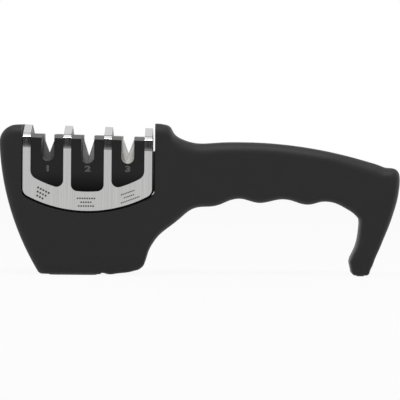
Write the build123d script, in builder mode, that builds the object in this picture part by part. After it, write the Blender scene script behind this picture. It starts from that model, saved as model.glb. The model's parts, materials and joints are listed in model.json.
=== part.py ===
from build123d import *
import os
from math import cos, pi, radians, sin, sqrt

os.makedirs("parts", exist_ok=True)

# A pull-through knife sharpener with three stages, in millimetres.
# X runs along the handle with the heel at +X, the user faces -Y, +Z is up and the
# worktop is at zero. The origin is on the worktop, halfway along the sharpener.

# Body: the head, the handle and the leg at its heel
head_depth = 45.0
grip_depth = 28.0
foot_depth = 24.0
handle_length = 141.3     # from where the neck starts to the heel
neck_length = 44.0        # over which the depth falls from the head's to the grip's
body_wall = 2.5
head_edge_radius = 5.0
base_edge_radius = 3.0
foot_edge_radius = 2.2
horn_width = 11.8         # the part of the head left of the cartridge
horn_radius = 9.3
horn_drop = 1.3           # from the top of the tower to the top of the horn
base_setback = 21.5       # how far the head's left side slants in to its base
base_rise_length = 16.0   # where the base starts to rise towards the handle
neck_lap = 12.2           # how far left of the tower's inner side the neck starts

# Cartridge: three stages side by side under a steel cover
saddle_left = -93.7       # the horn's inner side
stage_pitch = 21.2
stage_count = 3
strap_width = 4.0
left_gap = 0.9            # between the steel cover and the horn
right_gap = 1.4           # between the steel cover and the tower
low_gap = 1.2             # between the steel cover and the saddle under it
seat_play = 0.3           # between the cartridge and the saddle
plate_bottom = 33.8       # above the worktop; the cartridge's other heights follow from it
plate_arc_radius = 68.2
plate_corner_radius = 4.5
band_height = 10.0        # of the plate below the windows
window_inner_radius = 3.5
window_outer_radius = 5.0
sheet = 0.8
cover_depth = 45.6
bend_rise = 32.3          # from the plate's low edge to where the straps lean back
crest_low_rise = 5.7      # from there to the low side of the crest
crest_low_depth = 42.8
crest_rise = 1.7          # from the low to the high side of the crest
crest_depth = 39.8
apex_rise = 4.4           # from the crest to the middle of the roof
tower_rise = 1.8          # from the middle of the roof to the top of the tower
bend_radius = 1.2
roof_fall = 1.3           # degrees that the roof falls from the horn to the tower

# Black moulding under the cover
post_drop = 0.3           # from the crest to the top of the posts
post_chamfer = 1.9
post_wall = 3.0
shoulder_drop = 1.1       # below the bend the moulding is as wide as the saddle
rib_play = 0.1
side_bay_rise = 12.2      # from the plate's low edge to a bay's floor
middle_bay_rise = 8.2
slot_pitch = 20.9
slot_shift = 0.15         # of the middle slot, from the cartridge's middle to the tower
slot_width = 6.6
slot_depths = (13.5, 14.6, 14.6)

# Sharpening elements, which cross in each slot
element_gap = 0.3         # between the two elements of a stage
pocket_play = 0.1
carrier_play = 0.1
element_top_margin = 1.0  # from the top of an element to the top of its carrier
diamond_vee_depth = 9.6   # from the top of the posts to the V
diamond_angle = 20.4
diamond_width = 4.6
diamond_thickness = 4.0
diamond_edge_radius = 0.8
carbide_vee_depth = 11.2
carbide_angle = 17.2
carbide_width = 5.0
carbide_thickness = 2.6
carbide_edge_radius = 0.3
ceramic_vee_depth = 9.5
ceramic_angle = 20.6
ceramic_diameter = 4.4
element_reach = 15.5      # below the V, measured along the element

# Locating key under the cartridge and its socket in the body
key_length = 26.0
key_depth = 24.0
key_height = 14.5
key_top_rise = 2.7        # from the plate's low edge to the top of the key
key_wall = 2.6
key_roof = 3.5
key_edge_radius = 2.0
key_chamfer = 1.0

# Screws
body_screw_diameter = 3.0
body_screw_length = 14.0
body_screw_head = 5.6
body_screw_head_height = 2.0
body_screw_seat = 8.0     # how far behind the parting plane the heads sit
well_play = 0.4
boss_wall = 1.4
head_screw_spread = 35.0
head_screw_rise = 12.5
handle_screw_shares = ((0.198, 0.680), (0.573, 0.690), (0.913, 0.585))
small_screw_diameter = 2.5
small_screw_head = 4.6
small_screw_head_height = 1.6
cartridge_screw_length = 30.0
cartridge_screw_rise = 7.2
cartridge_screw_spread = 30.0
key_screw_length = 7.0
key_screw_spread = 13.0
thread_play = 0.05
hex_share = 0.55          # across the corners of a hex socket, of the head
hex_depth_share = 0.6

# Rubber pads let into the underside
pad_proud = 0.5
pad_thickness = 2.0
base_pad_length = 25.0
base_pad_depth = 34.0
base_pad_radius = 4.0
base_pad_inset = 5.0      # from the base's left edge
foot_pad_length = 3.6
foot_pad_depth = 14.0
foot_pad_radius = 1.2
tread_count = 5
tread_width = 1.2
tread_depth = 0.4
overrun = 2.0             # how far a cut runs past what it cuts

# Places that follow from these sizes
bend_height = plate_bottom + bend_rise
crest_low_height = bend_height + crest_low_rise
crest_height = crest_low_height + crest_rise
apex_height = crest_height + apex_rise
body_bottom = pad_proud
body_top = apex_height + tower_rise
body_height = body_top - body_bottom
post_height = crest_height - post_drop
shoulder_height = bend_height - shoulder_drop
slot_bottoms = [post_height - depth for depth in slot_depths]
key_top = plate_bottom + key_top_rise
key_bottom = key_top - key_height
cartridge_screw_height = plate_bottom + cartridge_screw_rise
half_head = head_depth / 2
half_cover = cover_depth / 2
half_mould = half_cover - sheet
cartridge_width = stage_count * stage_pitch + strap_width
plate_left = saddle_left + left_gap
plate_right = plate_left + cartridge_width
saddle_right = plate_right + right_gap
plate_middle = (plate_left + plate_right) / 2
arc_centre_height = plate_bottom + plate_arc_radius
neck_x = saddle_right - neck_lap
rise_x = neck_x - base_rise_length
head_left = saddle_left - horn_width
base_left = head_left + base_setback
base_pad_middle = base_left + base_pad_inset + base_pad_length / 2
rib_width = strap_width - 2 * rib_play
bay_width = stage_pitch - rib_width
bay_depth = 2 * (half_mould - post_wall)
bay_floors = [plate_bottom + rise for rise in (side_bay_rise, middle_bay_rise, side_bay_rise)]
cartridge_screw_seat = half_mould - small_screw_head_height - carrier_play
cartridge_screw_places = [
    (plate_middle - cartridge_screw_spread / 2, cartridge_screw_height),
    (plate_middle + cartridge_screw_spread / 2, cartridge_screw_height),
]
key_screw_seat = key_top - key_roof
key_screw_places = [
    (plate_middle, -key_screw_spread / 2),
    (plate_middle, key_screw_spread / 2),
]
bay_places = [plate_left + strap_width / 2 + (i + 0.5) * stage_pitch for i in range(stage_count)]
middle_slot = (stage_count - 1) / 2
slot_places = [plate_middle + slot_shift + (i - middle_slot) * slot_pitch for i in range(stage_count)]
strap_places = [plate_left + strap_width / 2 + i * stage_pitch for i in range(stage_count + 1)]

# The handle's two rails. Each row is a lower and an upper point of the side view, the x
# values as shares of the handle's length from the neck and the z values as shares of the
# body's height. A section of the handle stands between the two points of each row. Before
# the neck the base rises from flat in a few even steps.
base_rise_steps = 4
neck_shares = (
    (0.0000, 0.018, 0.0000, 1.000), (0.0142, 0.025, 0.0170, 1.000),
    (0.0269, 0.031, 0.0340, 1.000), (0.0382, 0.043, 0.0502, 1.000),
    (0.0474, 0.060, 0.0665, 1.000), (0.0545, 0.095, 0.0828, 0.999),
    (0.0616, 0.137, 0.0991, 0.999), (0.0708, 0.176, 0.1146, 0.995),
    (0.0849, 0.218, 0.1302, 0.989), (0.1026, 0.258, 0.1423, 0.974),
    (0.1253, 0.294, 0.1500, 0.951), (0.1500, 0.327, 0.1592, 0.926),
    (0.1741, 0.361, 0.1769, 0.904), (0.1982, 0.399, 0.2010, 0.886),
    (0.2236, 0.431, 0.2279, 0.873), (0.2548, 0.447, 0.2576, 0.868),
    (0.2902, 0.450, 0.2930, 0.871), (0.3255, 0.462, 0.3284, 0.876),
    (0.3623, 0.490, 0.3666, 0.879),
)
# The underside of the grip, with a swell between each two fingers
grip_shares = (
    (0.4046, 0.504), (0.4382, 0.491), (0.4760, 0.477), (0.5095, 0.485), (0.5548, 0.502),
    (0.5994, 0.493), (0.6370, 0.472), (0.6744, 0.472), (0.7050, 0.487), (0.7300, 0.489),
)
back_share = 0.8795       # height of the handle's back at its crown
crown_share = 0.4105      # where along the handle the crown is
back_fall_share = 0.192   # how far the back would fall to the heel, as one parabola
lean_share = 0.06         # how the grip's sections fan out towards the heel
heel_shares = (
    (0.7643, 0.476, 0.7950), (0.7960, 0.448, 0.8420), (0.8200, 0.423, 0.8850),
    (0.8350, 0.403, 0.9220), (0.8443, 0.386, 0.9540),
)
leg_shares = (
    (0.8499, 0.371, 0.9795, 0.712), (0.8510, 0.350, 0.9936, 0.693),
    (0.8505, 0.326, 1.0000, 0.657), (0.8490, 0.296, 0.9993, 0.595),
    (0.8463, 0.258, 0.9915, 0.504), (0.8416, 0.218, 0.9774, 0.414),
    (0.8354, 0.181, 0.9597, 0.323), (0.8271, 0.147, 0.9406, 0.241),
    (0.8193, 0.116, 0.9236, 0.168), (0.8155, 0.083, 0.9073, 0.102),
    (0.8175, 0.065, 0.9010, 0.070),
)
foot_shares = (0.8220, 0.8905)
foot_round_steps = 3
solid_foot_rows = 3       # sections at the foot that stay solid
foot_pad_middle = neck_x + handle_length * sum(foot_shares) / 2
# How round a section is, as shares of its smaller half: at the grip and at the leg
grip_round_share = 0.40
leg_round_share = 0.52
heel_start_share = 0.68
heel_end_share = 0.85
# Where the bulge of the head's left side is, as shares of the setback and the height
bulge_shares = (0.310, 0.405)


def save(builder, name):
    """Label a finished piece and write it to its own file."""
    builder.part.label = name
    export_step(builder.part, "parts/" + name + ".step")


def ease(start, end, share):
    """A smooth step from start to end."""
    share = max(0.0, min(1.0, share))
    return start + (end - start) * share * share * (3 - 2 * share)


def back_height(x_share):
    """Height of the handle's back, as a share of the body's height."""
    reach = (x_share - crown_share) / (1 - crown_share)
    return back_share - back_fall_share * reach * reach


def foot_row(height):
    """A level row at a height above the end of the leg."""
    return (foot_shares[0], height / body_height, foot_shares[1], height / body_height)


def rail_rows():
    """All rows of the two rails, from the rise of the base to the foot."""
    rows = []
    for i in range(base_rise_steps):
        part = i / base_rise_steps
        x_share = (part - 1) * base_rise_length / handle_length
        rows.append((x_share, neck_shares[0][1] * part**2, x_share, 1.0))
    rows.extend(neck_shares)
    for low_x, low_z in grip_shares:
        high_x = low_x + lean_share * (low_x - crown_share)
        rows.append((low_x, low_z, high_x, back_height(high_x)))
    for low_x, low_z, high_x in heel_shares:
        rows.append((low_x, low_z, high_x, back_height(high_x)))
    rows.extend(leg_shares)
    rows.append(foot_row(foot_edge_radius))
    return rows


def handle_section(row, inset):
    """One rounded section of the handle between its two rail points."""
    low_x, low_z, high_x, high_z = row
    low = Vector(neck_x + low_x * handle_length, 0, body_bottom + low_z * body_height)
    high = Vector(neck_x + high_x * handle_length, 0, body_bottom + high_z * body_height)
    middle_share = (low_x + high_x) / 2
    neck_part = middle_share * handle_length / neck_length
    height = (high - low).length
    half = ease(half_head, grip_depth / 2, neck_part)
    heel_part = (low_x - heel_start_share) / (heel_end_share - heel_start_share)
    half = ease(half, foot_depth / 2, heel_part)
    smaller = min(half, height / 2)
    full_round = ease(grip_round_share, leg_round_share, heel_part) * smaller
    top_radius = ease(head_edge_radius, full_round, neck_part)
    low_radius = ease(base_edge_radius, full_round, neck_part)
    across = Vector(0, 1, 0)
    plane = Plane(origin=(low + high) * 0.5, x_dir=across, z_dir=across.cross(high - low))
    with BuildSketch(plane) as section:
        Rectangle(2 * (half - inset), height - 2 * inset)
        fillet(section.vertices().sort_by(Axis.Y)[:2], low_radius - inset)
        fillet(section.vertices().sort_by(Axis.Y)[-2:], top_radius - inset)
    return section.sketch


def saddle_outline(left, right, low, top):
    """U outline round the steel plate, with a margin at its left, right and low side."""
    start = plate_left - left
    end = plate_right + right
    radius = plate_arc_radius + low
    start_height = arc_centre_height - sqrt(radius**2 - (plate_middle - start) ** 2)
    end_height = arc_centre_height - sqrt(radius**2 - (end - plate_middle) ** 2)
    with BuildSketch(Plane.XZ) as outline:
        with BuildLine():
            ThreePointArc(
                (start, start_height), (plate_middle, arc_centre_height - radius), (end, end_height)
            )
            Polyline((end, end_height), (end, top), (start, top), (start, start_height))
        make_face()
        fillet(outline.vertices().sort_by(Axis.Y)[:2], plate_corner_radius + low)
    return outline.sketch


def head_block(inset):
    """The head up to where its base starts to rise, or its hollow where it has an inset."""
    top = body_top - inset
    horn_top = top - horn_drop
    low = body_bottom + inset
    bulge = (
        head_left + bulge_shares[0] * base_setback + inset,
        body_bottom + bulge_shares[1] * body_height,
    )
    with BuildPart() as head:
        with BuildSketch(Plane.XZ) as outline:
            with BuildLine():
                ThreePointArc((base_left + inset, low), bulge, (head_left + inset, horn_top))
                Polyline((head_left + inset, horn_top), (rise_x, top), (rise_x, low))
                Line((rise_x, low), (base_left + inset, low))
            make_face()
            fillet(outline.vertices().sort_by(Axis.X)[0], horn_radius - inset)
        extrude(amount=half_head - inset, both=True)
        around = head.faces().filter_by(Axis.Y).edges().sort_by(Axis.X)[:-2]
        fillet(around.sort_by(Axis.Z)[2:], head_edge_radius - inset)
        base = head.edges().group_by(Axis.Z)[0].sort_by(Axis.X)[:-1]
        fillet(base, base_edge_radius - inset)
    return head.part


# Body: the outer form, and the same form inset by the wall as its hollow
rows = rail_rows()
with BuildPart() as handle_outside:
    for row in rows:
        add(handle_section(row, 0))
    for step in range(1, foot_round_steps + 1):
        turn = pi / 2 * step / foot_round_steps
        height = foot_edge_radius * (1 - sin(turn))
        add(handle_section(foot_row(height), foot_edge_radius * (1 - cos(turn))))
    loft()

with BuildPart() as handle_inside:
    for row in rows[:-solid_foot_rows]:
        add(handle_section(row, body_wall))
    loft()

# Body screws: two low in the head and three along the handle
head_screw_height = body_bottom + head_screw_rise
body_screw_places = [
    (plate_middle - head_screw_spread / 2, head_screw_height),
    (plate_middle + head_screw_spread / 2, head_screw_height),
]
for x_share, z_share in handle_screw_shares:
    place = (neck_x + x_share * handle_length, body_bottom + z_share * body_height)
    body_screw_places.append(place)
well_radius = body_screw_head / 2 + well_play

# The hollow stops short of the saddle, the key's socket and the screws
socket_bottom = key_bottom - seat_play
with BuildPart() as hollow:
    add(head_block(body_wall))
    add(handle_inside.part)
    walled = saddle_outline(
        left_gap + body_wall, right_gap + body_wall, low_gap + body_wall, body_top + overrun
    )
    extrude(walled, amount=half_head, both=True, mode=Mode.SUBTRACT)
    with BuildSketch(Plane.XY.offset(socket_bottom - body_wall)):
        with Locations((plate_middle, 0)):
            margin = 2 * (seat_play + body_wall)
            Rectangle(key_length + margin, key_depth + margin)
    extrude(amount=key_top - key_bottom, mode=Mode.SUBTRACT)
    with BuildSketch(Plane.XZ):
        with Locations(*body_screw_places):
            Circle(well_radius + boss_wall)
    extrude(amount=half_head, both=True, mode=Mode.SUBTRACT)

with BuildPart() as body:
    add(head_block(0))
    add(handle_outside.part)
    add(hollow.part, mode=Mode.SUBTRACT)
    saddle = saddle_outline(left_gap, right_gap, low_gap, body_top + overrun)
    extrude(saddle, amount=half_head + overrun, both=True, mode=Mode.SUBTRACT)
    with BuildSketch(Plane.XY.offset(socket_bottom)):
        with Locations((plate_middle, 0)):
            play = 2 * seat_play
            RectangleRounded(key_length + play, key_depth + play, key_edge_radius + seat_play)
    extrude(amount=key_top - key_bottom, mode=Mode.SUBTRACT)
    with BuildSketch(Plane.XY):
        with Locations((base_pad_middle, 0)):
            RectangleRounded(base_pad_length, base_pad_depth, base_pad_radius)
        with Locations((foot_pad_middle, 0)):
            RectangleRounded(foot_pad_length, foot_pad_depth, foot_pad_radius)
    extrude(amount=pad_thickness, mode=Mode.SUBTRACT)
    with BuildSketch(Plane.XZ.offset(-body_screw_seat)):
        with Locations(*body_screw_places):
            Circle(well_radius)
    extrude(amount=-half_head, mode=Mode.SUBTRACT)
    with BuildSketch(Plane.XZ.offset(-body_screw_seat)):
        with Locations(*body_screw_places):
            Circle(body_screw_diameter / 2 + thread_play)
    extrude(amount=body_screw_length + thread_play, mode=Mode.SUBTRACT)

with BuildPart() as body_front_shell:
    add(body.part)
    split(bisect_by=Plane.XZ, keep=Keep.TOP)
save(body_front_shell, "body_front_shell")

with BuildPart() as body_rear_shell:
    add(body.part)
    split(bisect_by=Plane.XZ, keep=Keep.BOTTOM)
save(body_rear_shell, "body_rear_shell")


def save_screws(name, plane, places, length, diameter, head, head_height):
    """Cap screws with their heads on the plane's far side and shanks along its normal."""
    with BuildPart() as screws:
        with BuildSketch(plane):
            with Locations(*places):
                Circle(diameter / 2)
        extrude(amount=length)
        with BuildSketch(plane):
            with Locations(*places):
                Circle(head / 2)
        extrude(amount=-head_height)
        with BuildSketch(plane.offset(-head_height)):
            with Locations(*places):
                RegularPolygon(head / 2 * hex_share, 6)
        extrude(amount=head_height * hex_depth_share, mode=Mode.SUBTRACT)
    save(screws, name)


save_screws(
    "body_screws",
    Plane.XZ.offset(-body_screw_seat),
    body_screw_places,
    body_screw_length,
    body_screw_diameter,
    body_screw_head,
    body_screw_head_height,
)

# Rubber pads, let into the underside and standing a little proud
with BuildPart() as base_pad:
    with BuildSketch(Plane.XY):
        with Locations((base_pad_middle, 0)):
            RectangleRounded(base_pad_length, base_pad_depth, base_pad_radius)
    extrude(amount=pad_thickness)
    with BuildSketch(Plane.XY):
        with Locations((base_pad_middle, 0)):
            with GridLocations(base_pad_length / (tread_count + 1), 0, tread_count, 1):
                Rectangle(tread_width, base_pad_depth - 2 * base_pad_radius)
    extrude(amount=tread_depth, mode=Mode.SUBTRACT)
save(base_pad, "base_pad")

with BuildPart() as foot_pad:
    with BuildSketch(Plane.XY):
        with Locations((foot_pad_middle, 0)):
            RectangleRounded(foot_pad_length, foot_pad_depth, foot_pad_radius)
    extrude(amount=pad_thickness)
save(foot_pad, "foot_pad")

# Cartridge: its cross section is drawn square to a roof that falls a little towards the
# tower, so X in these sketches is the depth and Y is the height.
roof_plane = Plane(
    origin=(plate_middle, 0, 0),
    x_dir=(0, 1, 0),
    z_dir=(cos(radians(roof_fall)), 0, -sin(radians(roof_fall))),
)


def cover_profile(inset):
    """The cover's section, a tent with a bent crest on each side."""
    side = [
        (half_cover, 0),
        (half_cover, bend_height),
        (crest_low_depth / 2, crest_low_height),
        (crest_depth / 2, crest_height),
    ]
    other_side = [(-depth, height) for depth, height in reversed(side)]
    with BuildSketch(roof_plane) as profile:
        with BuildLine():
            Polyline(*side, (0, apex_height), *other_side, close=True)
        make_face()
        if inset > 0:
            offset(amount=-inset, kind=Kind.INTERSECTION)
        bends = profile.vertices().sort_by(Axis.Y)[2:]
        fillet(bends, bend_radius - inset)
    return profile.sketch


def window_outline(number):
    """One window of the cover, open at the top, with a low side that follows the plate's."""
    left = strap_places[number] + strap_width / 2
    right = strap_places[number + 1] - strap_width / 2
    radius = plate_arc_radius - band_height
    start = arc_centre_height - sqrt(radius**2 - (plate_middle - left) ** 2)
    end = arc_centre_height - sqrt(radius**2 - (right - plate_middle) ** 2)
    middle = (left + right) / 2
    dip = arc_centre_height - sqrt(radius**2 - (plate_middle - middle) ** 2)
    left_radius = window_outer_radius if number == 0 else window_inner_radius
    right_radius = window_outer_radius if number == stage_count - 1 else window_inner_radius
    top = body_top + overrun
    with BuildSketch(Plane.XZ) as window:
        with BuildLine():
            ThreePointArc((left, start), (middle, dip), (right, end))
            Polyline((right, end), (right, top), (left, top), (left, start))
        make_face()
        fillet(window.vertices().sort_by(Axis.X)[:2].sort_by(Axis.Y)[0], left_radius)
        fillet(window.vertices().sort_by(Axis.X)[-2:].sort_by(Axis.Y)[0], right_radius)
    return window.sketch


with BuildPart() as steel_cover:
    extrude(cover_profile(0), amount=cartridge_width, both=True)
    extrude(cover_profile(sheet), amount=cartridge_width, both=True, mode=Mode.SUBTRACT)
    plate = saddle_outline(0, 0, 0, body_top + overrun)
    extrude(plate, amount=half_cover + overrun, both=True, mode=Mode.INTERSECT)
    for number in range(stage_count):
        extrude(window_outline(number), amount=half_cover + overrun, both=True, mode=Mode.SUBTRACT)
save(steel_cover, "steel_cover")


# Black moulding: four ribs that carry the straps, a slotted wall between them at the
# front and the back, and a floor that rests in the saddle
def slot_outline(number):
    """The slot that the knife is drawn through, round at its bottom."""
    bottom = slot_bottoms[number]
    tall = body_top - bottom
    with BuildSketch(Plane.XZ) as slot:
        with Locations((slot_places[number], bottom + slot_width / 2)):
            Circle(slot_width / 2)
            with Locations((0, tall / 2)):
                Rectangle(slot_width, tall)
    return slot.sketch


with BuildPart() as ribs:
    extrude(cover_profile(sheet), amount=cartridge_width, both=True)
    with BuildSketch(Plane.XZ):
        for place in strap_places:
            with Locations((place, apex_height / 2)):
                Rectangle(rib_width, 2 * apex_height)
    extrude(amount=half_head, both=True, mode=Mode.INTERSECT)

with BuildPart() as moulding:
    with BuildSketch(roof_plane):
        with BuildLine():
            low = post_height - post_chamfer
            narrow = half_mould - post_chamfer
            side = [(half_mould, 0), (half_mould, low), (narrow, post_height)]
            Polyline(*side, *[(-depth, height) for depth, height in reversed(side)], close=True)
        make_face()
    extrude(amount=cartridge_width, both=True)
    with BuildSketch(Plane.XZ):
        for place in strap_places:
            with Locations((place, shoulder_height + body_top / 2)):
                Rectangle(strap_width + 2 * rib_play, body_top)
    extrude(amount=half_head, both=True, mode=Mode.SUBTRACT)
    add(ribs.part)
    trimmed = saddle_outline(-rib_play, -rib_play, 0, body_top + overrun)
    extrude(trimmed, amount=half_head, both=True, mode=Mode.INTERSECT)
    seated = saddle_outline(
        left_gap - seat_play, right_gap - seat_play, low_gap - seat_play, shoulder_height
    )
    extrude(seated, amount=half_mould, both=True)
    for number, floor in enumerate(bay_floors):
        with BuildSketch(Plane.XY.offset(floor)):
            with Locations((bay_places[number], 0)):
                Rectangle(bay_width, bay_depth)
        extrude(amount=body_top - floor, mode=Mode.SUBTRACT)
        extrude(slot_outline(number), amount=half_head, both=True, mode=Mode.SUBTRACT)
    with BuildSketch(Plane.XY.offset(key_top)):
        with Locations((plate_middle, 0)):
            play = 2 * carrier_play
            RectangleRounded(key_length + play, key_depth + play, key_edge_radius + carrier_play)
    extrude(amount=key_bottom - key_top, mode=Mode.SUBTRACT)
    with BuildSketch(Plane.XZ.offset(-half_mould)):
        with Locations(*cartridge_screw_places):
            Circle(small_screw_head / 2 + carrier_play)
    extrude(amount=small_screw_head_height + carrier_play, mode=Mode.SUBTRACT)
    with BuildSketch(Plane.XZ.offset(-cartridge_screw_seat)):
        with Locations(*cartridge_screw_places):
            Circle(small_screw_diameter / 2 + thread_play)
    extrude(amount=cartridge_screw_length + thread_play, mode=Mode.SUBTRACT)
    with BuildSketch(Plane.XY.offset(key_screw_seat)):
        with Locations(*key_screw_places):
            Circle(small_screw_diameter / 2 + thread_play)
    extrude(amount=key_screw_length + thread_play, mode=Mode.SUBTRACT)

with BuildPart() as cartridge_front:
    add(moulding.part)
    split(bisect_by=Plane.XZ, keep=Keep.TOP)
save(cartridge_front, "cartridge_front")

with BuildPart() as cartridge_rear:
    add(moulding.part)
    split(bisect_by=Plane.XZ, keep=Keep.BOTTOM)
save(cartridge_rear, "cartridge_rear")

save_screws(
    "cartridge_screws",
    Plane.XZ.offset(-cartridge_screw_seat),
    cartridge_screw_places,
    cartridge_screw_length,
    small_screw_diameter,
    small_screw_head,
    small_screw_head_height,
)

# Locating key under the moulding
with BuildPart() as cartridge_key:
    with BuildSketch(Plane.XY.offset(key_bottom)):
        with Locations((plate_middle, 0)):
            RectangleRounded(key_length, key_depth, key_edge_radius)
    extrude(amount=key_top - key_bottom)
    chamfer(cartridge_key.faces().sort_by(Axis.Z)[0].edges(), key_chamfer)
    with BuildSketch(Plane.XY.offset(key_bottom)):
        with Locations((plate_middle, 0)):
            Rectangle(key_length - 2 * key_wall, key_depth - 2 * key_wall)
    extrude(amount=key_screw_seat - key_bottom, mode=Mode.SUBTRACT)
    with BuildSketch(Plane.XY.offset(key_screw_seat)):
        with Locations(*key_screw_places):
            Circle(small_screw_diameter / 2 + thread_play)
    extrude(amount=key_roof, mode=Mode.SUBTRACT)
save(cartridge_key, "cartridge_key")

save_screws(
    "key_screws",
    Plane.XY.offset(key_screw_seat),
    key_screw_places,
    key_screw_length,
    small_screw_diameter,
    small_screw_head,
    small_screw_head_height,
)


# Sharpening elements. A lean of 1 is the front one, which leans to the right, and -1 is
# the rear one, which leans to the left. Their upper sides meet in the V, which is given
# by its place, its height and the angle of each side to the vertical.
def element_top(vee):
    """Length of an element above the V."""
    place, height, angle = vee
    return (post_height - element_top_margin - height) / cos(radians(angle))


def along(vee, lean, reach, across):
    """A point beside the V, at a reach along the element and at a distance across it."""
    place, height, angle = vee
    slant = radians(angle)
    x = place + lean * (reach * sin(slant) + across * cos(slant))
    return (x, height + reach * cos(slant) - across * sin(slant))


def element_start(lean):
    """The plane of the face that an element turns to its partner."""
    return Plane.XZ.offset(lean * element_gap / 2)


def flat_element(vee, lean, width, thickness, edge_radius, play, extra):
    """A flat bar, or with play and extra length the pocket that it sits in."""
    low = -element_reach - play
    high = element_top(vee) + extra
    corners = [(low, -play), (high, -play), (high, width + play), (low, width + play)]
    with BuildPart() as bar:
        with BuildSketch(element_start(lean).offset(-lean * play)):
            with BuildLine():
                Polyline(*[along(vee, lean, reach, across) for reach, across in corners], close=True)
            make_face()
        extrude(amount=lean * (thickness + 2 * play))
        if play == 0:
            fillet(bar.edges().sort_by(SortBy.LENGTH)[-4:], edge_radius)
    return bar.part


def round_element(vee, lean, diameter, play, extra):
    """A round rod, or with play and extra length the bore that it sits in."""
    x, z = along(vee, lean, -element_reach - play, diameter / 2)
    depth = -lean * (element_gap + diameter) / 2
    slant = radians(vee[2])
    plane = Plane(origin=(x, depth, z), x_dir=(0, 1, 0), z_dir=(lean * sin(slant), 0, cos(slant)))
    with BuildPart() as rod:
        with BuildSketch(plane):
            Circle(diameter / 2 + play)
        extrude(amount=element_reach + play + element_top(vee) + extra)
    return rod.part


def save_carrier(name, number, pockets):
    """The block that holds a stage's two elements beside its slot."""
    with BuildPart() as carrier:
        with BuildSketch(roof_plane):
            with Locations((0, post_height / 2)):
                Rectangle(bay_depth - 2 * carrier_play, post_height)
        extrude(amount=cartridge_width / 2, both=True)
        with BuildSketch(Plane.XZ):
            with Locations((bay_places[number], bay_floors[number] + body_top / 2)):
                Rectangle(bay_width - 2 * carrier_play, body_top)
        extrude(amount=half_head, both=True, mode=Mode.INTERSECT)
        extrude(slot_outline(number), amount=half_head, both=True, mode=Mode.SUBTRACT)
        for pocket in pockets:
            add(pocket, mode=Mode.SUBTRACT)
    save(carrier, name)


sides = (("front", 1), ("rear", -1))
stages = ("diamond", "carbide", "ceramic")
vees = (
    (slot_places[0], post_height - diamond_vee_depth, diamond_angle),
    (slot_places[1], post_height - carbide_vee_depth, carbide_angle),
    (slot_places[2], post_height - ceramic_vee_depth, ceramic_angle),
)
flat_sizes = {
    "diamond": (diamond_width, diamond_thickness, diamond_edge_radius),
    "carbide": (carbide_width, carbide_thickness, carbide_edge_radius),
}
for number, kind in enumerate(stages):
    vee = vees[number]
    pockets = []
    for side, lean in sides:
        if kind == "ceramic":
            element = round_element(vee, lean, ceramic_diameter, 0, 0)
            pockets.append(round_element(vee, lean, ceramic_diameter, pocket_play, overrun))
            name = "ceramic_rod_" + side
        else:
            section = flat_sizes[kind]
            element = flat_element(vee, lean, *section, 0, 0)
            pockets.append(flat_element(vee, lean, *section, pocket_play, overrun))
            name = kind + "_bar_" + side
        with BuildPart() as piece:
            add(element)
        save(piece, name)
    save_carrier(kind + "_carrier", number, pockets)
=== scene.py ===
# %% [markdown]
# # A pull-through knife sharpener
# The sharpener has two groups of pieces. The dark grey body is a hollow moulding in two
# shells, with a head, a grip with finger swells and a leg at its heel. The cartridge
# stands in a saddle in the head: a black moulding with three slots, a bent steel cover
# with four straps over it, and a pair of crossed sharpening elements in each slot.
#
# The shapes of all these pieces come from the frame, at their real size. What is left
# for this script is how they look: the finishes, the raised numerals under the slots,
# the printed marks on the steel, and a plain bright studio.

# %% Load the frame
import json
from math import cos, pi, radians, sin, tan

import bpy
from mathutils import Matrix, Vector


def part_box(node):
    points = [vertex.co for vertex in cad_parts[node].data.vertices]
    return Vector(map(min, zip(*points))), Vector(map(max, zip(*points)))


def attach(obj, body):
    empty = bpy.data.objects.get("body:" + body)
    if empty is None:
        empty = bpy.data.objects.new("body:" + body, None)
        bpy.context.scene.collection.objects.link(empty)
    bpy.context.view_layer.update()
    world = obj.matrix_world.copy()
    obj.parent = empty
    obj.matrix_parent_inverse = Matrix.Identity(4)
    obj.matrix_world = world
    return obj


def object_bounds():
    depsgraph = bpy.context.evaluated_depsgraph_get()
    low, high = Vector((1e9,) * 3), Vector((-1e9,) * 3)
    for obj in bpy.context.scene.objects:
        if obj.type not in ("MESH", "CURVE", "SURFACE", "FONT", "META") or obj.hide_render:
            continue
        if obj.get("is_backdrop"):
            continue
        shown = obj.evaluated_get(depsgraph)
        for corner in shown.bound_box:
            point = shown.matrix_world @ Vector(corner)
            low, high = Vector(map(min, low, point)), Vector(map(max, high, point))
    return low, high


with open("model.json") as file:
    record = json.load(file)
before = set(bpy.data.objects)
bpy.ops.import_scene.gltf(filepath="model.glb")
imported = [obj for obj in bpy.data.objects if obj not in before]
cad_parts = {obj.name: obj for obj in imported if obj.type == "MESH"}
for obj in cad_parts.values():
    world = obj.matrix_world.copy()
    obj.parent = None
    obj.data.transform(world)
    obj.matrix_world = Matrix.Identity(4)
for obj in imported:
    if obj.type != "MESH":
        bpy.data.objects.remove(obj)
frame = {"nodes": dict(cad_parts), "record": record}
cad_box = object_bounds()
nodes = frame["nodes"]
MM = 0.001
size = (cad_box[1] - cad_box[0]) / MM
print(f"{len(nodes)} nodes, {size.x:.1f} by {size.y:.1f} by {size.z:.1f} mm")

# %% [markdown]
# ## Small helpers
# Colours are picked from real things, so they are written as sRGB hex codes, and
# one function turns them into the linear numbers that a renderer adds up. Every shader
# below is a few nodes, so a second function adds one node: its settings are attributes,
# and its inputs are either plain values or the outputs of other nodes.


# %% Colours and nodes
def srgb(code):
    """A linear colour with full alpha from a hex code such as #3a3b3c."""
    channels = [int(code[i:i + 2], 16) / 255 for i in (1, 3, 5)]
    linear = [c / 12.92 if c <= 0.04045 else ((c + 0.055) / 1.055) ** 2.4 for c in channels]
    return (*linear, 1.0)


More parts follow.
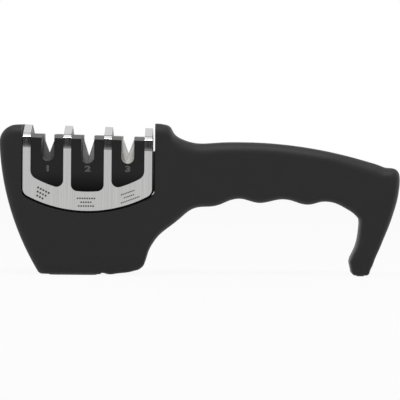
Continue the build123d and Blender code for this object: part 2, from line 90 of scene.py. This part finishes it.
def fill(tree, node, inputs):
    """Fill a node's inputs with plain values, or link them to other nodes' outputs."""
    for name, value in inputs.items():
        if isinstance(value, bpy.types.NodeSocket):
            tree.links.new(value, node.inputs[name])
        else:
            node.inputs[name].default_value = value


def add_node(tree, kind, inputs=None, **settings):
    """Add a node, set its attributes and fill its inputs."""
    made = tree.nodes.new(kind)
    for name, value in settings.items():
        setattr(made, name, value)
    fill(tree, made, inputs or {})
    return made


def start_material(name):
    """A new material, its tree, its Principled shader and its Object coordinates."""
    material = bpy.data.materials.new(name)
    material.use_nodes = True
    tree = material.node_tree
    place = add_node(tree, "ShaderNodeTexCoord").outputs["Object"]
    return material, tree, tree.nodes["Principled BSDF"], place


def per_metre(millimetres):
    """The noise scale whose features are this many millimetres across."""
    return 1 / (millimetres * MM)


print("helpers ready: srgb, fill, add_node, start_material, per_metre")

# %% [markdown]
# ## Steps that the finishes share
# Real surfaces are never even, and the same few steps make them so. Noise gives a soft
# random value. That value is moved to the range that a roughness or a height needs, it
# mixes two colours, or it becomes a bump, which turns the light as fine relief would.
# A vector split along its axes tells how high a point lies or how far a face leans back.


# %% Noise, ranges, mixes and bumps
def noise(tree, place, scale, detail=2.0):
    """Soft noise between 0 and 1."""
    inputs = {"Vector": place, "Scale": scale, "Detail": detail}
    return add_node(tree, "ShaderNodeTexNoise", inputs).outputs["Fac"]


def stretched_noise(tree, place, sizes_mm):
    """Noise whose features have their own size along each axis."""
    scale = [per_metre(size) for size in sizes_mm]
    stretched = add_node(tree, "ShaderNodeMapping", {"Vector": place, "Scale": scale})
    return noise(tree, stretched.outputs["Vector"], 1.0)


def rescale(tree, value, start, end, low=0.0, high=1.0):
    """A value moved from the range start to end into low to high, and held there."""
    inputs = {"Value": value, "From Min": start, "From Max": end, "To Min": low, "To Max": high}
    return add_node(tree, "ShaderNodeMapRange", inputs).outputs["Result"]


def calculate(tree, operation, *values):
    """One operation of arithmetic on up to three values."""
    return add_node(tree, "ShaderNodeMath", dict(enumerate(values)), operation=operation).outputs[0]


def along(tree, vector, axis):
    """How far a vector reaches along one axis."""
    return add_node(tree, "ShaderNodeSeparateXYZ", {"Vector": vector}).outputs[axis]


def facing(tree):
    """The direction that the surface faces."""
    return add_node(tree, "ShaderNodeNewGeometry").outputs["Normal"]


def mix_colors(tree, share, first, second):
    """The first colour, with this share of the second in it."""
    inputs = {"Factor": share, "A": first, "B": second}
    return add_node(tree, "ShaderNodeMix", inputs, data_type="RGBA").outputs["Result"]


def color_ramp(tree, value, steps):
    """A colour that runs through steps, each a position and a linear colour."""
    made = add_node(tree, "ShaderNodeValToRGB", {"Fac": value})
    elements = made.color_ramp.elements
    elements[0].position, elements[0].color = steps[0]
    elements[1].position, elements[1].color = steps[-1]
    for position, color in steps[1:-1]:
        elements.new(position).color = color
    return made.outputs["Color"]


def bump(tree, height, strength, depth, under=None, invert=False):
    """The normal turned by a height map, on top of another such normal if there is one."""
    inputs = {"Height": height, "Strength": strength, "Distance": depth}
    if under:
        inputs["Normal"] = under
    return add_node(tree, "ShaderNodeBump", inputs, invert=invert).outputs["Normal"]


print("steps ready: noise, rescale, calculate, along, facing, mix_colors, color_ramp, bump")

# %% [markdown]
# ## Camera
# The photograph looks straight at the front from far away, a touch from above, and its
# right side hangs a little. So the camera stands in front at azimuth 0, about 1.75 m
# off, and its field of view is set from the width that the picture spans at the
# sharpener's middle plane. A small roll gives the slope.

# %% Place the camera
camera_distance = 1750 * MM
camera_elevation = radians(1.45)
camera_roll = radians(0.49)
aim = Vector((0, 0, 39.4 * MM))
seen_width = 211.84 * MM
sensor_width = 36.0

lens_data = bpy.data.cameras.new("camera")
lens_data.sensor_width = sensor_width
lens_data.lens = sensor_width * camera_distance / seen_width
camera = bpy.data.objects.new("camera", lens_data)
bpy.context.scene.collection.objects.link(camera)
outward = Vector((0, -cos(camera_elevation), sin(camera_elevation)))
turn = Matrix.Rotation(pi / 2 - camera_elevation, 4, "X") @ Matrix.Rotation(camera_roll, 4, "Z")
camera.matrix_world = Matrix.Translation(aim + outward * camera_distance) @ turn
bpy.context.scene.camera = camera
print(f"lens {lens_data.lens:.0f} mm, {camera_distance:.2f} m away")

# %% [markdown]
# ## Floor and studio world
# The photograph shows the sharpener on plain white. A floor that shows its own white to
# the camera keeps the picture bright, and a share of plain diffuse in it keeps the soft
# shadow under the base and the foot. The world does the same: white where the camera
# sees it, and otherwise the studio that the steel mirrors, which is what makes steel look
# like steel. At eye level it is bright all round, so the plate and the sloping roof of
# the cover shine. Above that comes a dark band in front, which the leaning tops of the
# straps mirror, and one at the back, which draws the thin dark line over their crests.

# %% Floor
floor_width = 6.0
glow_share = 0.93
white = srgb("#ffffff")
bpy.ops.object.select_all(action="DESELECT")
bpy.ops.mesh.primitive_plane_add(size=floor_width, location=(0, 0, 0))
floor = bpy.context.object
floor.name = "floor"
paper, tree, shader, _ = start_material("white_sweep_paper")
fill(tree, shader, {"Base Color": srgb("#d8d8d8"), "Roughness": 0.9})
glow = add_node(tree, "ShaderNodeEmission", {"Color": white, "Strength": 1.0})
ray = add_node(tree, "ShaderNodeLightPath")
seen = calculate(tree, "ADD", ray.outputs["Is Camera Ray"], ray.outputs["Is Glossy Ray"])
glow_seen = calculate(tree, "MULTIPLY", seen, glow_share)
mixed = add_node(
    tree,
    "ShaderNodeMixShader",
    {0: glow_seen, 1: shader.outputs["BSDF"], 2: glow.outputs["Emission"]},
)
fill(tree, tree.nodes["Material Output"], {"Surface": mixed.outputs["Shader"]})
floor.data.materials.append(paper)
floor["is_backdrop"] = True
print("floor of white paper at height 0")

# %% Studio world
# The greys run from the horizon, at 0, to straight up, at 1.
front_greys = (
    (0.00, "#f4f4f4"), (0.13, "#e6e6e6"), (0.28, "#343434"), (0.38, "#0c0c0c"), (0.56, "#0c0c0c"),
    (0.70, "#787878"), (0.97, "#c8c8c8"),
)
back_greys = ((0.00, "#ffffff"), (0.52, "#ffffff"), (0.66, "#343434"), (0.92, "#343434"), (0.99, "#8c8c8c"))
# From straight in front, at -1, to straight behind, at 1, they change between these two.
front_end = -0.2
back_start = 0.1

world = bpy.data.worlds.new("studio")
world.use_nodes = True
bpy.context.scene.world = world
sky = world.node_tree
sky.nodes.clear()
direction = add_node(sky, "ShaderNodeTexCoord").outputs["Generated"]
front, back = [
    color_ramp(sky, along(sky, direction, "Z"), [(height, srgb(code)) for height, code in greys])
    for greys in (front_greys, back_greys)
]
behind = rescale(sky, along(sky, direction, "Y"), front_end, back_start)
surround = mix_colors(sky, behind, front, back)
studio_light = add_node(sky, "ShaderNodeBackground", {"Color": surround})
backdrop = add_node(sky, "ShaderNodeBackground", {"Color": white, "Strength": 1.0})
ray = add_node(sky, "ShaderNodeLightPath")
both = add_node(
    sky,
    "ShaderNodeMixShader",
    {
        0: ray.outputs["Is Camera Ray"],
        1: studio_light.outputs["Background"],
        2: backdrop.outputs["Background"],
    },
)
add_node(sky, "ShaderNodeOutputWorld", {"Surface": both.outputs["Shader"]})
bpy.context.scene.view_settings.view_transform = "Standard"
print("studio world of", len(front_greys), "and", len(back_greys), "greys")

# %% [markdown]
# ## Lamps
# Two lamps add to the world. A wide softbox almost straight above gives the crests their
# bright line and lights every upper edge. A narrow strip, higher than the dark band that
# the straps mirror, shines through the open slots onto the sharpening elements. Both
# face the sharpener, and both are set by their radiance, the brightness that a mirror
# would show, so that a lamp's size changes how much light it gives but not its glare.


# %% Softbox and key strip
def softbox(name, elevation, distance, width, height, radiance):
    """A rectangular lamp in front of the sharpener that faces it."""
    area = bpy.data.lights.new(name, "AREA")
    area.shape = "RECTANGLE"
    area.size, area.size_y = width, height
    area.energy = radiance * pi * width * height
    lamp = bpy.data.objects.new(name, area)
    bpy.context.scene.collection.objects.link(lamp)
    place = Vector((0, -cos(radians(elevation)), sin(radians(elevation)))) * distance
    face = Matrix.Rotation(radians(90 - elevation), 4, "X")
    lamp.matrix_world = Matrix.Translation(place) @ face
    print(f"{name}: {area.energy:.1f} W from {distance} m away")


softbox("overhead_softbox", elevation=84, distance=1.1, width=1.8, height=0.5, radiance=0.8)
softbox("key_strip", elevation=60, distance=1.5, width=0.6, height=0.12, radiance=42.0)

# %% [markdown]
# ## Body: soft-touch moulded ABS
# The body is dark grey ABS from a spark-eroded mould, which leaves an even, very fine
# grain and a dull sheen. Three things keep it from looking like flat paint. The roughness
# wanders a little from hand polish of the mould. The line where the two shells meet runs
# round the whole body as a hair-thin groove. And a paler grey is mixed in where it faces
# up, a painted highlight, so its upper edges fade lighter.


# %% Finish of the body
def soft_touch_abs():
    """Grained dark plastic with a seam at the middle plane and a painted highlight where it faces up."""
    material, tree, shader, place = start_material("soft_touch_abs")
    cloud = noise(tree, place, per_metre(14))
    tone = mix_colors(tree, cloud, srgb("#262626"), srgb("#2b2b2b"))
    # Faces that look up get a paler grey mixed in: a painted highlight of the light from above.
    painted_top_highlight = rescale(tree, along(tree, facing(tree), "Z"), 0.0, 0.9)
    # The real grain is near 0.05 mm. It is drawn at 0.22 mm, or it would not show.
    grain = noise(tree, place, per_metre(0.22), 1.0)
    grained = bump(tree, grain, 0.12, 0.05 * MM)
    off_seam = calculate(tree, "ABSOLUTE", along(tree, place, "Y"))
    groove = rescale(tree, off_seam, 0.04 * MM, 0.22 * MM)
    inputs = {
        "Base Color": mix_colors(tree, painted_top_highlight, tone, srgb("#404040")),
        "Roughness": rescale(tree, cloud, 0.0, 1.0, 0.50, 0.60),
        "Specular IOR Level": 0.22,
        "Sheen Weight": 0.10,
        "Normal": bump(tree, groove, 0.8, 0.15 * MM, grained),
    }
    fill(tree, shader, inputs)
    return material


body_finish = soft_touch_abs()
print("made", body_finish.name)

# %% [markdown]
# ## Cartridge: black ABS
# The moulding under the steel is black and smoother than the body. Its finish mixes in a
# paler grey wherever a face leans back, most on the slanting edges: a painted highlight.
# Filings settle at the feet of the windows and dull the shine there, so it fades going
# down. The carriers beside the slots are a duller, glass-filled grade that wears better:
# dark grey at the first two stages, and natural nylon behind the white rods of the third.

# %% Heights and painted highlights of the cartridge
cover_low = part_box("steel_cover")[0]
plate_low = cover_low.z
dull_height = plate_low + 11.19 * MM
shiny_height = plate_low + 20.19 * MM
dull_shine = 0.05
full_shine = 0.29
# Each step is a lean, from 0 for upright to 1 for flat, and the share of painted highlight there.
painted_highlight_steps = ((0.30, 0.0), (0.55, 1.0), (0.85, 1.0), (0.97, 0.3))
print(f"shine rises from {dull_height / MM:.1f} to {shiny_height / MM:.1f} mm up")


# %% Finish of the moulding and the carriers
def cartridge_plastic(name, dark, light, roughness, grain_mm, painted_highlight_color):
    """Plastic with a painted highlight where it leans back, and less shine towards the windows' feet."""
    material, tree, shader, place = start_material(name)
    cloud = noise(tree, place, per_metre(6), 3.0)
    tone = mix_colors(tree, cloud, srgb(dark), srgb(light))
    # A paler grey is mixed in by how far a face leans back: a painted highlight.
    greys = [(lean, (share, share, share, 1.0)) for lean, share in painted_highlight_steps]
    painted_highlight_share = color_ramp(tree, along(tree, facing(tree), "Z"), greys)
    shine = rescale(tree, along(tree, place, "Z"), dull_height, shiny_height, dull_shine, full_shine)
    grain = noise(tree, place, per_metre(grain_mm), 1.0)
    inputs = {
        "Base Color": mix_colors(tree, painted_highlight_share, tone, srgb(painted_highlight_color)),
        "Roughness": roughness,
        "Specular IOR Level": shine,
        "Normal": bump(tree, grain, 0.10, 0.04 * MM),
    }
    fill(tree, shader, inputs)
    return material


# The grey of the painted highlight on faces that lean back.
painted_highlight_grey = "#747474"
moulding_finish = cartridge_plastic("polished_black_abs", "#0c0c0c", "#111111", 0.34, 0.30, painted_highlight_grey)
carrier_finish = cartridge_plastic("glass_filled_black_abs", "#464646", "#505050", 0.40, 0.18, painted_highlight_grey)
pale_carrier_finish = cartridge_plastic(
    "glass_filled_natural_nylon", "#c4c4c2", "#d0d0ce", 0.45, 0.18, "#d0d0ce"
)
# The numerals are the moulding's own black plastic, drawn a lighter grey as a painted highlight of their
# raised faces.
numeral_painted_highlight_finish = cartridge_plastic("raised_numeral_painted_highlight", "#585858", "#626262", 0.34, 0.30, "#626262")
print("made", moulding_finish.name, carrier_finish.name, pale_carrier_finish.name, numeral_painted_highlight_finish.name)

# %% [markdown]
# ## Steel cover: brushed stainless
# The sheet was brushed before it was bent, along what becomes the height of the plate and
# the length of the straps. Seen up close that is a set of long fine scratches, each with
# its own width and depth, and seen as a whole it is a soft streak of reflected light
# across the brushing. Noise squeezed to lines gives the scratches. The streak comes from
# an anisotropic shader whose tangent follows the brushing: the surface normal crossed
# with X points up the plate, over the bend and along the roof, all in one rule.
#
# A press brake leaves a soft bend, while the frame's is crisp. So a second bump turns the
# foot of each strap partly back towards the plate, less and less going up, and the
# mirrored studio fades from bright to dark there instead of stepping.

# %% Where the cover bends
bend_foot = plate_low + 31.19 * MM
bend_slope = 0.021
bend_reach = 3.0 * MM
bend_ease = radians(8)
bend_depth = bend_reach / 2 * tan(bend_ease)
print(f"the bend starts {bend_foot / MM:.1f} mm up and is {bend_reach / MM:.1f} mm high")


# %% Finish of the steel cover
def brushed_stainless():
    """Steel with scratches along the straps, a streak across them and a soft bend."""
    material, tree, shader, place = start_material("brushed_stainless")
    # Real brush lines are some 0.02 mm wide. They are drawn at 0.12 mm, with wider ones.
    lines = stretched_noise(tree, place, (0.12, 18, 18))
    bands = stretched_noise(tree, place, (0.7, 40, 40))
    brushed = calculate(tree, "ADD", lines, bands)
    tone = rescale(tree, brushed, 0.7, 1.3)
    scratched = bump(tree, lines, 0.12, 0.02 * MM)
    # The bend runs down a little towards +X, so its height is read along that slope.
    height = calculate(tree, "MULTIPLY_ADD", along(tree, place, "X"), bend_slope, along(tree, place, "Z"))
    foot = rescale(tree, height, bend_foot, bend_foot + bend_reach, 1.0, 0.0)
    bow = calculate(tree, "POWER", foot, 2.0)
    up_the_plate = add_node(
        tree,
        "ShaderNodeVectorMath",
        {0: facing(tree), 1: (1.0, 0.0, 0.0)},
        operation="CROSS_PRODUCT",
    )
    inputs = {
        "Base Color": mix_colors(tree, tone, srgb("#bababa"), srgb("#cccccb")),
        "Metallic": 1.0,
        "Roughness": rescale(tree, brushed, 0.7, 1.3, 0.13, 0.21),
        "Anisotropic": 0.5,
        "Normal": bump(tree, bow, 1.0, bend_depth, scratched, invert=True),
        "Tangent": up_the_plate.outputs["Vector"],
    }
    fill(tree, shader, inputs)
    return material


steel_finish = brushed_stainless()
print("made", steel_finish.name)

# %% [markdown]
# ## Sharpening elements
# The coarse bars are steel with diamond grit bonded on, a mid grey that sparkles. The
# carbide bars are ground, so fine marks run across them. The fine rods are sintered
# alumina, a warm off-white that is matte and faintly speckled.


# %% Finishes of the elements
def grit_coated(name, dark, light, metallic, grit_mm, height_mm):
    """Grains bonded to a surface, each a cell with its own tone."""
    material, tree, shader, place = start_material(name)
    grains = add_node(tree, "ShaderNodeTexVoronoi", {"Vector": place, "Scale": per_metre(grit_mm)})
    inputs = {
        "Base Color": mix_colors(tree, grains.outputs["Color"], srgb(dark), srgb(light)),
        "Metallic": metallic,
        "Roughness": 0.5,
        "Normal": bump(tree, grains.outputs["Distance"], 0.5, height_mm * MM),
    }
    fill(tree, shader, inputs)
    return material


def ground_carbide():
    """Dull metal with fine grinding marks across its height."""
    material, tree, shader, place = start_material("ground_carbide")
    marks = stretched_noise(tree, place, (8, 8, 0.15))
    inputs = {
        "Base Color": mix_colors(tree, marks, srgb("#a0a0a1"), srgb("#bcbcbd")),
        "Metallic": 0.8,
        "Roughness": 0.38,
        "Normal": bump(tree, marks, 0.3, 0.03 * MM),
    }
    fill(tree, shader, inputs)
    return material


diamond_finish = grit_coated("diamond_grit_on_steel", "#6a6a6c", "#9c9c9e", 0.2, 0.25, 0.10)
ceramic_finish = grit_coated("sintered_alumina", "#eceae6", "#f4f3ef", 0.0, 0.35, 0.02)
carbide_finish = ground_carbide()
print("made", diamond_finish.name, carbide_finish.name, ceramic_finish.name)

# %% [markdown]
# ## Small parts: zinc-plated screws and rubber pads
# The screws are plated and turned, which leaves a dull silver with a mottled bloom. The
# pads are black rubber with a dusty, nearly shineless face. Printing ink is mottled in
# the same way, so the marks on the steel share this finish.


# %% Finishes of the small parts
def mottled(name, dark, light, roughness, metallic, spot_mm):
    """A surface whose tone drifts in soft spots, such as plating, rubber or ink."""
    material, tree, shader, place = start_material(name)
    spots = noise(tree, place, per_metre(spot_mm), 4.0)
    inputs = {
        "Base Color": mix_colors(tree, spots, srgb(dark), srgb(light)),
        "Metallic": metallic,
        "Roughness": roughness,
        "Normal": bump(tree, spots, 0.2, 0.05 * MM),
    }
    fill(tree, shader, inputs)
    return material


screw_finish = mottled("zinc_plated_steel", "#9a9a98", "#b8b9ba", 0.35, 1.0, 0.8)
rubber_finish = mottled("black_rubber", "#151515", "#1f1e1d", 0.85, 0.0, 0.5)
ink_finish = mottled("grey_printing_ink", "#4c4c4c", "#565656", 0.60, 0.0, 0.3)
print("made", screw_finish.name, rubber_finish.name, ink_finish.name)

# %% [markdown]
# ## Dress the frame's nodes
# The record gives every node a material slot, so one table of slots to finishes dresses
# them all, and a node that is added later is dressed too. Only the third carrier, the
# pale one, has a finish of its own within its slot.

# %% Give every node its finish
finishes = {
    "body_plastic": body_finish,
    "cartridge_plastic": moulding_finish,
    "carrier_plastic": carrier_finish,
    "cover_steel": steel_finish,
    "screw_steel": screw_finish,
    "pad_rubber": rubber_finish,
    "diamond_grit": diamond_finish,
    "carbide": carbide_finish,
    "ceramic": ceramic_finish,
}
own_finishes = {"ceramic_carrier": pale_carrier_finish}
subparts = frame["record"]["subparts"]
for entry in subparts:
    mesh = nodes[entry["node"]].data
    mesh.materials.clear()
    mesh.materials.append(own_finishes.get(entry["node"], finishes[entry["material_slot"]]))
print("dressed", len(subparts), "nodes")

# %% [markdown]
# ## Raised numerals
# Each slot has its stage number under it, moulded with the post. A text object gives the
# figure, a small thickness and a rounded edge make it stand out, and turning it into a
# mesh lets its place be applied. It is sized by what it measures rather than by the
# font's own unit. The real figures are wide and heavy, so these are stretched and their
# strokes swell.

# %% Places of the numerals
post_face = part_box("cartridge_front")[0].y
slot_middles = []
for name in ("diamond_bar_", "carbide_bar_", "ceramic_rod_"):
    slot_middles.append((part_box(name + "front")[0].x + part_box(name + "rear")[1].x) / 2)
numeral_height = 3.3 * MM
numeral_stretch = 1.5
numeral_foot = plate_low + 20.39 * MM
numeral_rise = 0.25 * MM
print("slot middles at", [round(middle / MM, 2) for middle in slot_middles], "mm")

# %% Numerals under the slots
# The strokes' swelling, depth and rounded edge are in the font's own unit.
stroke_swell = 0.02
stroke_depth = 0.03
stroke_edge = 0.03
edge_steps = 2


def raised_numeral(figure, middle):
    """One figure that stands on the front of the cartridge."""
    bpy.ops.object.select_all(action="DESELECT")
    bpy.ops.object.text_add(location=(0, 0, 0))
    text = bpy.context.object.data
    text.body = str(figure)
    text.offset = stroke_swell
    text.extrude = stroke_depth
    text.bevel_depth = stroke_edge
    text.bevel_resolution = edge_steps
    bpy.ops.object.convert(target="MESH")
    piece = bpy.context.object
    piece.name = f"numeral_{figure}"
    low = Vector(map(min, *[v.co for v in piece.data.vertices]))
    high = Vector(map(max, *[v.co for v in piece.data.vertices]))
    flat = (high + low) / 2
    grow = numeral_height / (high.y - low.y)
    deep = 2 * numeral_rise / (high.z - low.z)
    upright = Matrix.Rotation(pi / 2, 4, "X")
    shape = upright @ Matrix.Diagonal((grow * numeral_stretch, grow, deep, 1)) @ Matrix.Translation(-flat)
    place = Matrix.Translation((middle, post_face, numeral_foot + numeral_height / 2))
    piece.data.transform(place @ shape)
    piece.data.materials.append(numeral_painted_highlight_finish)
    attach(piece, "cartridge")
    return piece


for figure, middle in enumerate(slot_middles, 1):
    piece = raised_numeral(figure, middle)
    print(piece.name, len(piece.data.polygons), "faces")

# %% [markdown]
# ## Printed marks on the steel
# Below each window the steel carries a small print that tells the stages apart. Here it is
# a plain grit scale: rows of dots, coarse under the first slot, finer under the second and
# finest under the third. A dot is a disc of ink, so one is made from a circle, filled and
# thickened, and copied along the rows. The rows of the outer two lean along the plate's
# curved low edge, as the print there does.


# %% A dot and its rows
plate_face = cover_low.y
ink_rise = 0.03 * MM
dot_sides = 16
row_gap = 2.0 * MM


def ink_dot(radius):
    """A thin disc of ink at the origin, of which half will sink into the steel."""
    bpy.ops.object.select_all(action="DESELECT")
    bpy.ops.mesh.primitive_circle_add(vertices=dot_sides, radius=radius, fill_type="NGON")
    dot = bpy.context.object
    bpy.ops.object.mode_set(mode="EDIT")
    bpy.ops.mesh.select_all(action="SELECT")
    bpy.ops.mesh.extrude_region_move(TRANSFORM_OT_translate={"value": (0, 0, 2 * ink_rise)})
    bpy.ops.mesh.select_all(action="SELECT")
    bpy.ops.mesh.normals_make_consistent(inside=False)
    bpy.ops.object.mode_set(mode="OBJECT")
    return dot


def grit_marks(name, middle, height, lean, radius, pitch, rows):
    """Rows of dots round a place on the plate, turned by a lean in degrees."""
    face = Matrix.Translation((middle, plate_face + ink_rise, height))
    face = face @ Matrix.Rotation(radians(lean), 4, "Y") @ Matrix.Rotation(pi / 2, 4, "X")
    first = ink_dot(radius)
    dots = []
    for row, count in enumerate(rows):
        up = ((len(rows) - 1) / 2 - row) * row_gap
        for i in range(count):
            dot = first.copy()
            dot.data = first.data.copy()
            bpy.context.scene.collection.objects.link(dot)
            dot.data.transform(face @ Matrix.Translation(((i - (count - 1) / 2) * pitch, up, 0)))
            dots.append(dot)
    bpy.data.objects.remove(first)
    bpy.ops.object.select_all(action="DESELECT")
    for dot in dots:
        dot.select_set(True)
    bpy.context.view_layer.objects.active = dots[0]
    bpy.ops.object.join()
    marks = bpy.context.object
    marks.name = name
    marks.data.materials.append(ink_finish)
    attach(marks, "cartridge")
    return marks


print(f"ink stands {ink_rise / MM:.2f} mm off the steel, in rows {row_gap / MM:.1f} mm apart")

# %% Grit marks below the windows
# Each print has its shift from the slot's middle and its height over the plate's low
# edge in millimetres, its lean in degrees, the dots' radius and pitch in millimetres,
# and how many dots are in each row.
mark_table = (
    ("coarse_marks", -3.05, 8.79, 27, 0.58, 1.55, (5, 4, 3)),
    ("medium_marks", -0.75, 4.49, 0, 0.48, 1.25, (8, 5, 7)),
    ("fine_marks", 0.75, 7.79, -20, 0.38, 0.98, (8, 6, 11)),
)
for middle, (name, shift, rise, lean, radius, pitch, rows) in zip(slot_middles, mark_table):
    marks = grit_marks(
        name, middle + shift * MM, plate_low + rise * MM, lean, radius * MM, pitch * MM, rows
    )
    print(marks.name, sum(rows), "dots,", len(marks.data.polygons), "faces")

# %% [markdown]
# ## Measure
# The dressed sharpener's box is measured against the frame's own box, and how much the
# dressing adds along each axis is printed. The dressed sharpener has to stay inside the
# frame's own box.

# %% Measure what the dressing adds
dressed_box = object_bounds()
growth = (dressed_box[1] - dressed_box[0] - cad_box[1] + cad_box[0]) / MM
print(f"dressing adds {growth.x:.2f}, {growth.y:.2f} and {growth.z:.2f} mm")
